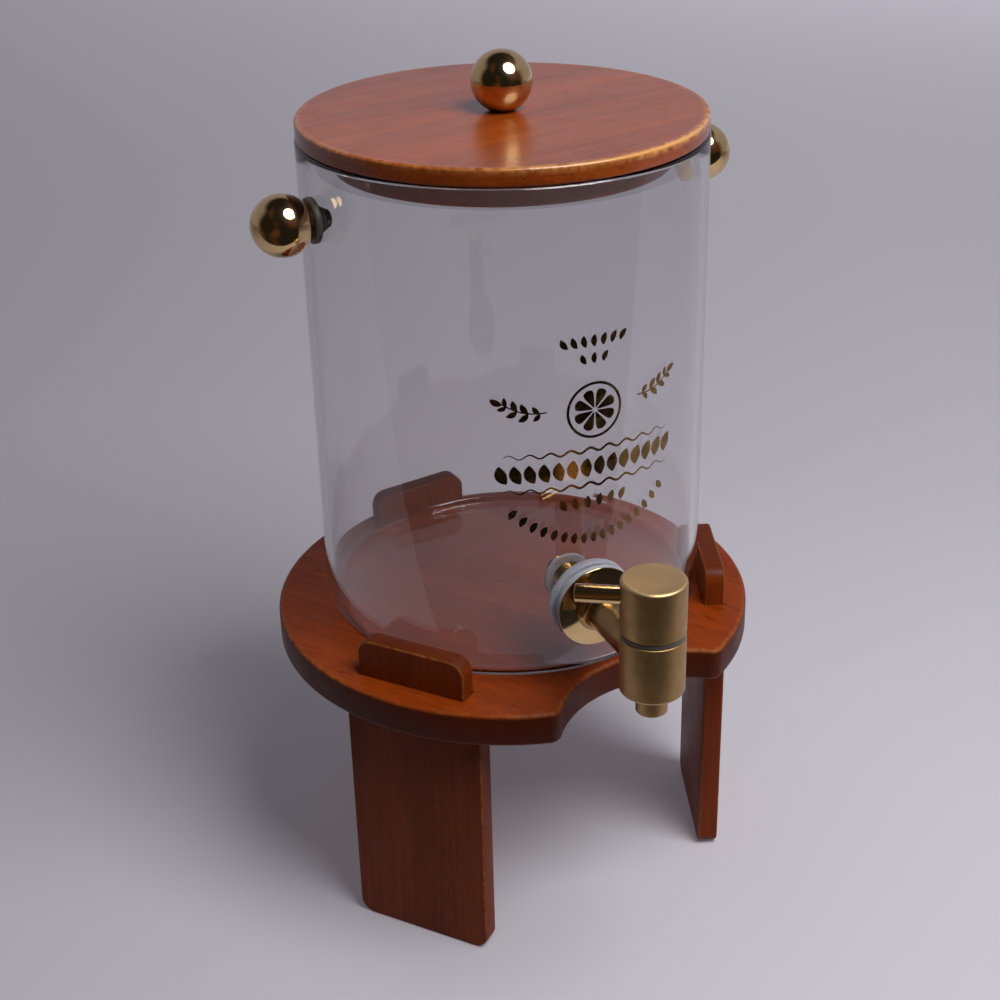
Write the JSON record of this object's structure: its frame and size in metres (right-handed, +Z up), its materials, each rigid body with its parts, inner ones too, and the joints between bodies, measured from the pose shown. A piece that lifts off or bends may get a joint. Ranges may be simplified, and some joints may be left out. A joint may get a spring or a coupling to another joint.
{
  "type": "countertop water dispenser",
  "caption": "Glass jar dispenser with a brass quarter-turn tap, ball knobs and a wooden lid, standing on a round wooden stand with board legs.",
  "frame": {"origin": "on the floor under the middle of the whole object's box", "axes": "+Z up, the tap points to -Y, the side knobs lie roughly along X"},
  "size_m": [0.2612, 0.3025, 0.4454],
  "materials": {
    "stand_wood": "red-brown stain under semi-gloss lacquer",
    "lid_wood": "red-brown stain under semi-gloss lacquer",
    "clear_glass": "clear blown glass",
    "polished_brass": "mirror polished",
    "brushed_brass": "brushed, antique tone",
    "silicone": "matte translucent",
    "dark_rubber": "matte",
    "nylon": "matte natural nylon",
    "ceramic": "lapped",
    "dark_steel": "dark plated"
  },
  "bodies": {
    "stand": {"stand_plate": "stand_wood", "leg_front_left": "stand_wood", "leg_front_right": "stand_wood", "leg_rear": "stand_wood"},
    "jar": {"glass_jar": "clear_glass", "knob_ball_left": "polished_brass", "knob_ball_right": "polished_brass", "knob_grommet_left": "dark_rubber", "knob_grommet_right": "dark_rubber", "knob_washer_left": "dark_steel", "knob_washer_right": "dark_steel", "knob_screw_left": "dark_steel", "knob_screw_right": "dark_steel", "tap_body": "brushed_brass", "tap_flange": "polished_brass", "tap_washer_outer": "silicone", "tap_washer_inner": "silicone", "tap_nut": "nylon", "tap_nozzle": "brushed_brass", "tap_o_ring": "dark_rubber", "valve_seat": "dark_rubber", "valve_fixed_disc": "ceramic", "valve_bonnet": "brushed_brass", "spindle_o_ring": "dark_rubber"},
    "tap_handle": {"tap_cap": "brushed_brass", "tap_lever": "polished_brass", "valve_spindle": "brushed_brass", "valve_moving_disc": "ceramic"},
    "lid": {"lid_top": "lid_wood", "lid_plug": "lid_wood", "lid_seal": "silicone", "lid_knob": "polished_brass", "lid_washer": "dark_steel", "lid_screw": "dark_steel"}
  },
  "joints": [
    {"name": "jar_lift", "type": "slide", "parent": "stand", "child": "jar", "axis": [0, 0, 1], "range_m": [0, 0.1]},
    {"name": "tap_turn", "type": "hinge", "parent": "jar", "child": "tap_handle", "pos_m": [0, -0.13575, 0.1961], "axis": [0, 0, 1], "range_deg": [0, 90]},
    {"name": "lid_lift", "type": "slide", "parent": "jar", "child": "lid", "axis": [0, 0, 1], "range_m": [0, 0.06]}
  ]
}
